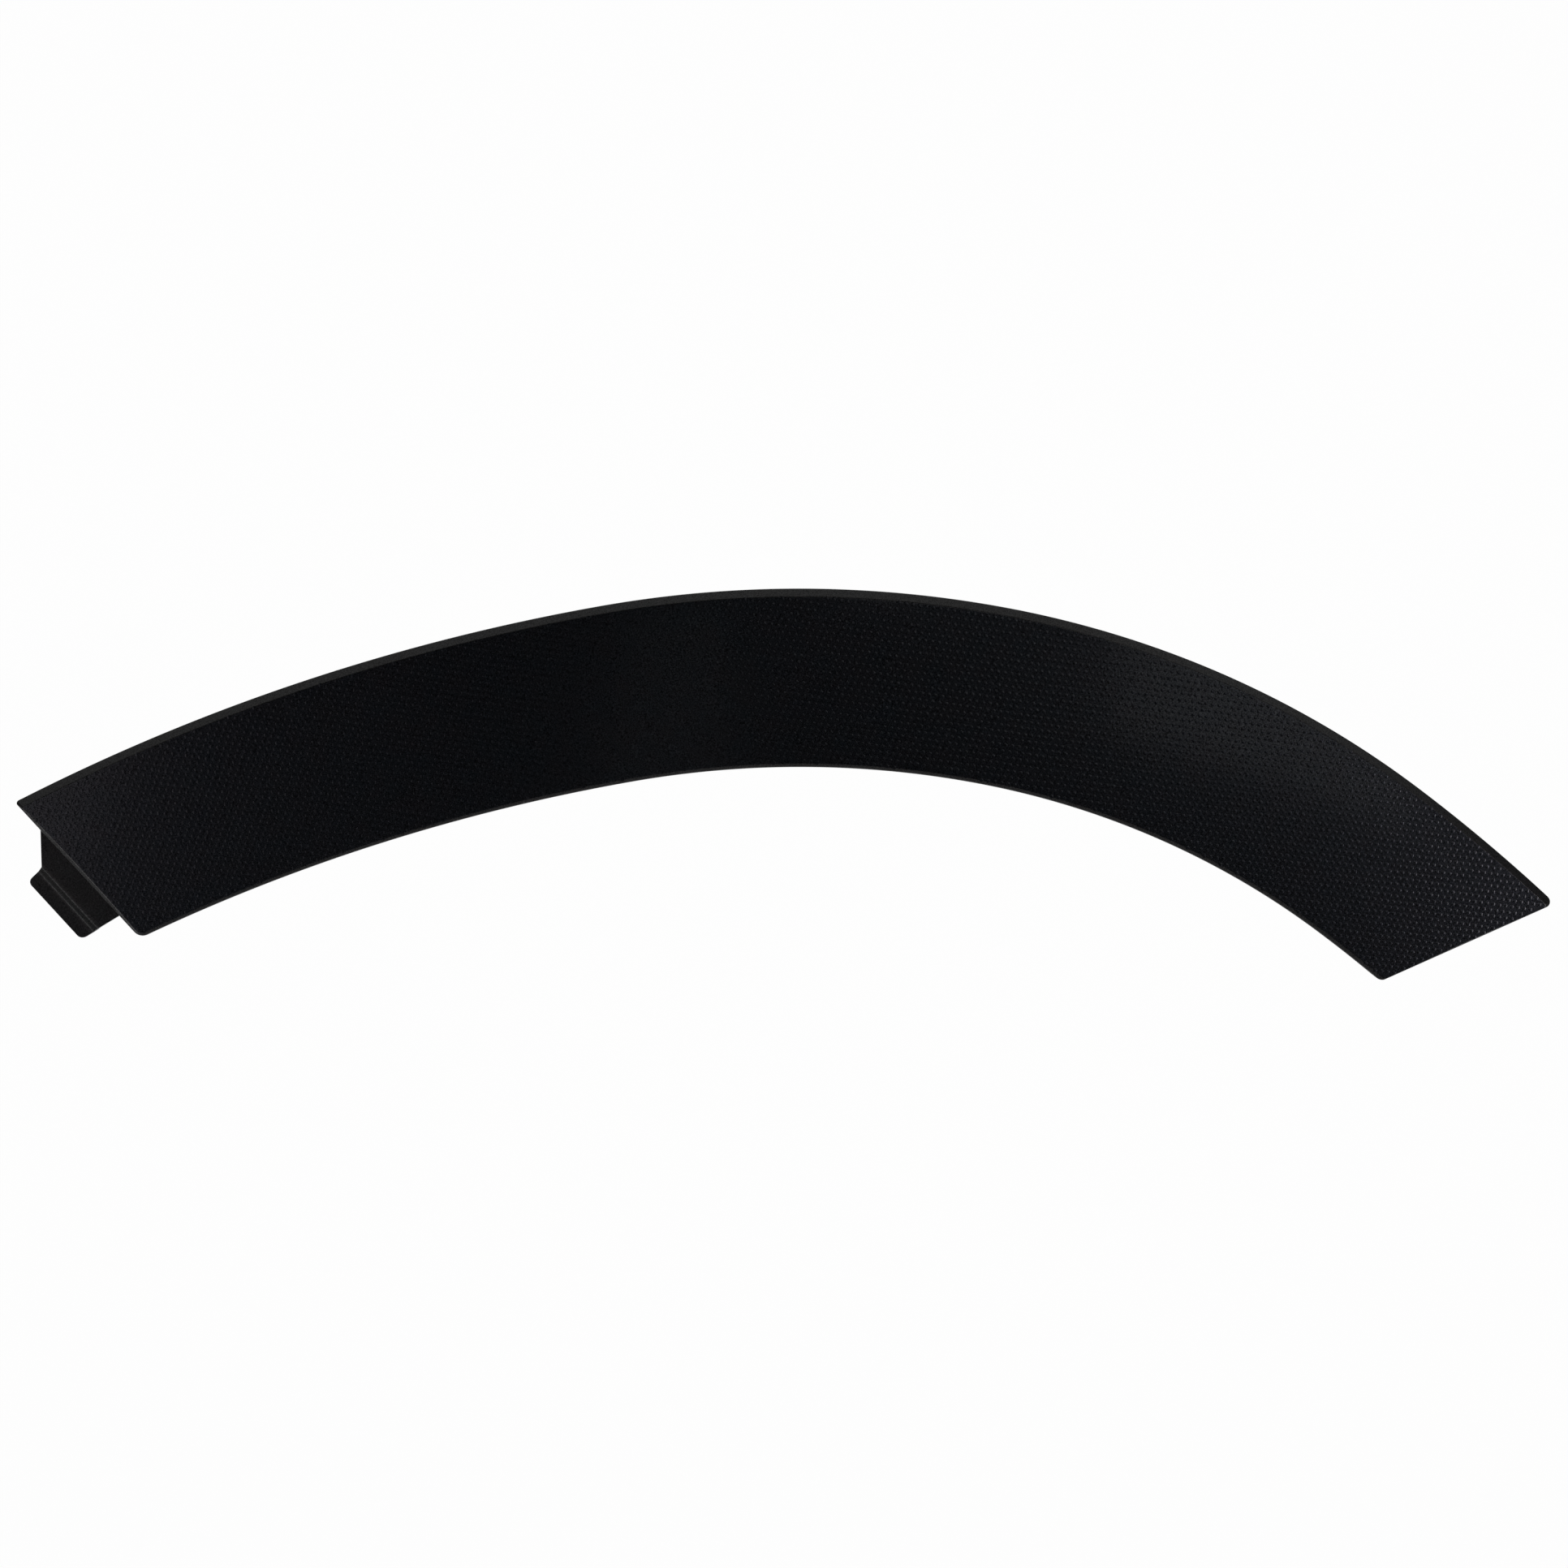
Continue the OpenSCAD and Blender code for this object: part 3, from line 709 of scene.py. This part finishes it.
class ARCH_OT_tongue(bpy.types.Operator):
    """Build the stepped tongue that slides behind the neighbouring trim"""
    bl_idname = "arch_trim.tongue"
    bl_label = "Tongue"

    def execute(self, context):
        out, shelf, slope, step, drop, wall = 18.5, 9.9, 2.7, 3.2, 3.4, 2.2
        top, top_lip, low, low_lip, corner, edge = -14.6, -25.8, -61.0, -57.0, 2.2, 0.45
        shift = wall * np.tan(np.arctan2(step, slope) / 2)

        def levels(x, back):
            """Depth of the front or back: two flats joined by a slope, its bends rounded."""
            past = x - shelf + back * shift
            ramp = np.hypot(past, TONGUE_BEND) - np.hypot(past - slope, TONGUE_BEND) + slope
            return drop + back * wall + step / slope * ramp / 2

        def plan(inset):
            """Grid of the outline, drawn in by an inset, with its outer corners rounded."""
            r = corner - inset
            turn = np.linspace(0, np.pi / 2, 9)
            bends = shelf - 1.6, shelf + slope + 1.0
            x = np.concatenate([
                np.linspace(0.3 - END_WALL, bends[0], 16)[:-1], np.linspace(*bends, 16)[:-1],
                np.linspace(bends[1], out - corner, 5)[:-1], out - corner + r * np.sin(turn)])
            fall = np.concatenate([np.zeros(len(x) - len(turn)), r * (1 - np.cos(turn))])
            upper = np.interp(x, [0, shelf], [top, top_lip]) - inset - fall
            lower = np.interp(x, [0, out], [low, low_lip]) + inset + fall
            even = np.linspace(0, 1, 37)
            share = (even + (1 - np.cos(np.pi * even)) / 2) / 2
            return x[:, None] + 0 * share, lower[:, None] + (upper - lower)[:, None] * share

        def surface(inset, back):
            x, z = plan(inset)
            return at_end(-1, x, levels(x, back), z)

        def rim(grid):
            return np.concatenate([grid[:, 0], grid[-1, 1:], grid[:-1, -1][::-1]])

        shell = Shell()
        grids = surface(edge, 0), surface(0, 0), surface(0, 1), surface(edge, 1)
        rows, _ = rounded_rows([rim(grid) for grid in grids], [edge, edge])
        shell.grid(shell.add(rows), flip=True)
        shell.grid(shell.add(grids[0]))
        shell.grid(shell.add(grids[3]), flip=True)
        shell.write("tongue", (0, finish_of("tongue_plastic")))
        return {"FINISHED"}


class ARCH_OT_seats(bpy.types.Operator):
    """Build the clip seats: pockets under a plate with a keyhole slot"""
    bl_idname = "arch_trim.seats"
    bl_label = "Clip seats"

    def execute(self, context):
        length, width, wall, floor, plate = 22.0, 18.0, 1.6, 3.5, 2.0
        seat, neck, mouth = 4.0, 5.0, 11.0
        half_l, half_w = length / 2, width / 2

        def u_path(x_end, z, corner):
            """A path along one side, round the closed end and back along the other side."""
            turn = np.linspace(0, np.pi / 2, 6)[1:-1]
            side = np.stack([np.linspace(half_l, x_end + corner, 17), np.full(17, z)], -1)
            arc = np.stack([x_end + corner - corner * np.sin(turn), z - corner + corner * np.cos(turn)], -1)
            across = np.stack([np.full(9, x_end), np.linspace(z - corner, corner - z, 9)], -1)
            return np.concatenate([side, arc, across, arc[::-1] * [1, -1], side[::-1] * [1, -1]])

        def keyhole():
            """Path of the slot: a tapering mouth, a neck and the round seat, sampled as u_path."""
            taper = half_l - (mouth - neck) / 2
            touch = np.sqrt(seat ** 2 - (neck / 2) ** 2)
            start = np.arctan2(neck / 2, touch)
            turn = np.linspace(start, 2 * np.pi - start, 19)
            side = np.concatenate([np.linspace([half_l, mouth / 2], [taper, neck / 2], 6)[:-1],
                                   np.linspace([taper, neck / 2], [touch, neck / 2], 12)])
            round_ = np.stack([seat * np.cos(turn), seat * np.sin(turn)], -1)
            return np.concatenate([side, round_[1:-1], side[::-1] * [1, -1]])

        outer, inner = u_path(-half_l, half_w, 1.2), u_path(wall - half_l, half_w - wall, 0.7)
        slot = keyhole()
        levels = [(outer, WALL - 0.3), (outer, SEAT_PLANE), (slot, SEAT_PLANE), (slot, SEAT_PLANE - plate),
                  (inner, SEAT_PLANE - plate), (inner, floor), (inner * [1, 0], floor)]
        shell = Shell()
        for share in np.arange(-SEATS_EACH_SIDE, SEATS_EACH_SIDE + 1) / SEATS_EACH_SIDE:
            keys = [np.stack([path[:, 0], np.full(len(path), w), path[:, 1]], -1) for path, w in levels]
            rows, _ = rounded_rows(keys, [0.6, 0.3, 0.25, 0.4, 0.5], steps=3)
            ids = shell.add(placed(station(share), rows[..., 0], rows[..., 1], rows[..., 2] - SEAT_INSET))
            shell.grid(ids, flip=True)
            edge = shell.add(shell.points[np.concatenate([ids[:, 0], ids[::-1, -1]])])
            shell.faces.append(edge.tolist())
        shell.write("clip_seats", (0, finish_of("smooth_plastic")))
        return {"FINISHED"}


class ARCH_OT_ribs(bpy.types.Operator):
    """Build the ribs between the flange and the face"""
    bl_idname = "arch_trim.ribs"
    bl_label = "Ribs"

    def execute(self, context):
        thickness, foot, inset = 1.6, 19.0, 3.0
        steps = 12
        t = np.linspace(0, 1, steps)[:, None]
        root = FLANGE_WALL - BAND - 0.4
        toe, end = np.array([FLANGE_WALL - BAND + foot, WALL]), FLANGE_DEPTH - inset
        heel, tip = np.array([root, WALL]), np.array([root + leant_in(end), end])
        sloping = toe + (tip - toe) * t
        base = heel + (tip - heel) * t
        shell = Shell()
        count = 2 * SEATS_EACH_SIDE
        for share in np.arange(-count, count + 1) / count:
            keys = [np.stack([np.full(steps, x), path[:, 1], path[:, 0]], -1)
                    for x, path in ((-thickness / 2, base), (-thickness / 2, sloping),
                                    (thickness / 2, sloping), (thickness / 2, base))]
            rows, _ = rounded_rows(keys, [0.4, 0.4], steps=4)
            ids = shell.add(placed(station(share), rows[..., 0], rows[..., 1], rows[..., 2]))
            shell.grid(ids)
        shell.write("ribs", (0, finish_of("smooth_plastic")))
        return {"FINISHED"}


class ARCH_OT_stage(bpy.types.Operator):
    """Build the studio: floor and backdrop in one sweep, softboxes, world and camera"""
    bl_idname = "arch_trim.stage"
    bl_label = "Studio"

    def execute(self, context):
        self.sweep()
        self.lamps()
        self.world(context)
        self.camera(context)
        return {"FINISHED"}

    def sweep(self):
        """Floor and backdrop: a straight line, a quarter circle and an upright, carried along X."""
        floor, depth, bend, top = settings().studio.floor, 3.6, 0.8, 3.2
        turn = np.linspace(0, np.pi / 2, 17)
        flat = np.linspace(-depth, depth - bend, 20)[:-1]
        y = np.concatenate([flat, depth - bend + bend * np.sin(turn), [depth]])
        z = np.concatenate([np.full(len(flat), floor), floor + bend - bend * np.cos(turn), [top]])
        x = np.linspace(-4, 4, 9)
        grid = np.stack(np.broadcast_arrays(x[:, None], y[None], z[None]), -1)
        mesh = bpy.data.meshes.new("backdrop")
        ids = np.arange(grid.size // 3).reshape(grid.shape[:2])
        quads = np.stack([ids[:-1, :-1], ids[1:, :-1], ids[1:, 1:], ids[:-1, 1:]], -1).reshape(-1, 4)
        mesh.from_pydata(grid.reshape(-1, 3).tolist(), [], quads.tolist())
        mesh.shade_smooth()
        backdrop = bpy.data.objects.new("backdrop", mesh)
        bpy.context.scene.collection.objects.link(backdrop)
        material = bpy.data.materials.new("backdrop_paper")
        paint = Paint(material)
        ray = paint.node("ShaderNodeLightPath", out="Is Camera Ray")
        glossy = Wire(paint, ray.socket.node.outputs["Is Glossy Ray"])
        through = Wire(paint, ray.socket.node.outputs["Is Transmission Ray"])
        place = paint.node("ShaderNodeTexCoord", out="Object")
        across = paint.node("ShaderNodeSeparateXYZ", {}, {"Vector": place}, "Y")
        behind = paint.node("ShaderNodeMapRange", {}, {"Value": across, "From Min": 0.5, "From Max": 1.0})
        paper = paint.node("ShaderNodeBsdfDiffuse", {}, {"Color": (0.8, 0.8, 0.8, 1)})
        white = paint.node("ShaderNodeEmission", {}, {"Color": (1, 1, 1, 1), "Strength": 1.06})
        shown = paint.node("ShaderNodeMixShader", {}, {0: 0.92, 1: paper, 2: white})
        choice = paint.node("ShaderNodeMixShader", {}, {
            0: ray + (glossy + through) * behind, 1: paper, 2: shown})
        paint.node("ShaderNodeOutputMaterial", {}, {"Surface": choice})
        mesh.materials.append(material)

    def softbox(self, name, place, aim, size, power, colour, roll=0, mirrored=True):
        """A rectangular lamp at a place, turned to a point, rolled, and seen in reflections or not."""
        lamp = bpy.data.lights.new(name, "AREA")
        lamp.shape, lamp.size, lamp.size_y = "RECTANGLE", size[0], size[1]
        lamp.energy, lamp.color = power, colour
        holder = bpy.data.objects.new(name, lamp)
        bpy.context.scene.collection.objects.link(holder)
        holder.visible_camera, holder.visible_glossy = False, mirrored
        place, aim = np.array(place, float), np.array(aim, float)
        back = (place - aim) / np.linalg.norm(place - aim)
        side = np.cross([0, 0, 1], back) if abs(back[2]) < 0.99 else np.array([1.0, 0, 0])
        side /= np.linalg.norm(side)
        turn = np.eye(4)
        turn[:3, 0], turn[:3, 1], turn[:3, 2], turn[:3, 3] = side, np.cross(back, side), back, place
        holder.matrix_world = Matrix(turn.tolist()) @ Matrix.Rotation(np.radians(roll), 4, "Z")

    def lamps(self):
        """Softboxes 1.6 m away: azimuth from the camera's side, elevation, roll, width and height.

        The end light stands nearer, and its azimuth and elevation count from the left end.
        """
        studio = settings().studio
        warm, cold, white = (1, 0.92, 0.95), (0.88, 0.97, 1), (1, 1, 1)
        middle, left_end = (0, 0, -0.05), (-0.25, 0, -0.05)
        for name, azimuth, elevation, roll, width, height, power, colour in (
                ("high_key", 12, 20, 40, 0.6, 0.22, studio.keys[0], white),
                ("overhead", 0, 74, 0, 4.8, 1.0, studio.keys[1], white),
                ("left_panel", -50, -8, 0, 1.3, 1.3, studio.sides[0], warm),
                ("right_side", 60, -6, 0, 0.4, 0.9, studio.sides[1], warm),
                ("end_light", -82, -43, 0, 0.3, 0.9, studio.keys[2], white),
                ("middle_sheen", -5, -4, 0, 0.16, 0.8, studio.sheens[0], cold),
                ("right_sheen", 29, 11, -12, 0.5, 0.7, studio.sheens[1], white),
                ("back_light", 180, 50, 0, 1.4, 0.8, studio.sides[2], white),
                ("soft_fill", 0, 20, 0, 2.0, 1.2, studio.fill_power, white)):
            a, e = np.radians(azimuth), np.radians(elevation)
            aim, distance = (left_end, 0.9) if name == "end_light" else (middle, 1.6)
            place = aim + distance * np.array([np.sin(a) * np.cos(e), -np.cos(a) * np.cos(e), np.sin(e)])
            self.softbox(name, place, aim, (width, height), power, colour, roll, name != "soft_fill")

    def world(self, context):
        """A white world for the camera, which adds hardly any light to the object."""
        world = bpy.data.worlds.new("studio_air")
        paint = Paint(world)
        ray = paint.node("ShaderNodeLightPath", out="Is Camera Ray")
        strength = ray * 0.98 + 0.02
        air = paint.node("ShaderNodeBackground", {}, {"Color": (1, 1, 1, 1), "Strength": strength})
        paint.node("ShaderNodeOutputWorld", {}, {"Surface": air})
        context.scene.world = world
        context.scene.view_settings.view_transform = "Standard"

    def camera(self, context):
        """The camera looks along Y from two metres, with three small turns."""
        turns = [np.array(Matrix.Rotation(np.radians(angle), 3, axis)) for axis, angle in CAMERA_TURNS]
        # rows: right, down and forward of the camera in the model's axes
        to_view = turns[0] @ turns[1] @ turns[2] @ np.array([[1, 0, 0], [0, 0, -1], [0, 1, 0]])
        crown = np.array([0, -SEAT_PLANE, SEAT_INSET])
        place = crown + to_view.T @ (np.array([0, 0, -CAMERA_DISTANCE]) - CAMERA_SHIFT)
        lens = bpy.data.cameras.new("camera")
        lens.sensor_width, lens.lens = SENSOR_WIDTH, SENSOR_WIDTH * FOCAL_PIXELS / PHOTO_PIXELS
        lens.clip_start, lens.clip_end = 0.05, 50
        camera = bpy.data.objects.new("camera", lens)
        context.scene.collection.objects.link(camera)
        matrix = np.eye(4)
        matrix[:3, 0], matrix[:3, 1], matrix[:3, 2] = to_view[0], -to_view[1], -to_view[2]
        matrix[:3, 3] = place * 0.001
        camera.matrix_world = Matrix(matrix.tolist())
        context.scene.camera = camera


class ARCH_PT_panel(bpy.types.Panel):
    """Sidebar panel of the trim"""
    bl_idname = "ARCH_PT_panel"
    bl_label = "Wheel arch trim"
    bl_space_type = "VIEW_3D"
    bl_region_type = "UI"
    bl_category = "Arch trim"

    def draw(self, context):
        for name in ("grain", "plastic", "studio"):
            group = getattr(settings(), name)
            box = self.layout.box()
            for key in group.bl_rna.properties.keys():
                if key not in ("rna_type", "name"):
                    box.prop(group, key)
        for operator in OPERATORS:
            self.layout.operator(operator.bl_idname)


OPERATORS = (ARCH_OT_moulding, ARCH_OT_grain, ARCH_OT_tongue, ARCH_OT_seats, ARCH_OT_ribs, ARCH_OT_stage)
CLASSES = (TrimGrain, TrimPlastic, TrimStudio, TrimSettings, *OPERATORS, ARCH_PT_panel)


def register():
    for made in CLASSES:
        bpy.utils.register_class(made)
    bpy.types.Scene.arch_trim = PointerProperty(type=TrimSettings)


def unregister():
    del bpy.types.Scene.arch_trim
    for made in reversed(CLASSES):
        bpy.utils.unregister_class(made)


def main():
    register()
    bpy.ops.arch_trim.moulding()
    bpy.ops.arch_trim.grain()
    bpy.ops.arch_trim.tongue()
    bpy.ops.arch_trim.seats()
    bpy.ops.arch_trim.ribs()
    bpy.ops.arch_trim.stage()


if __name__ == "__main__":
    main()
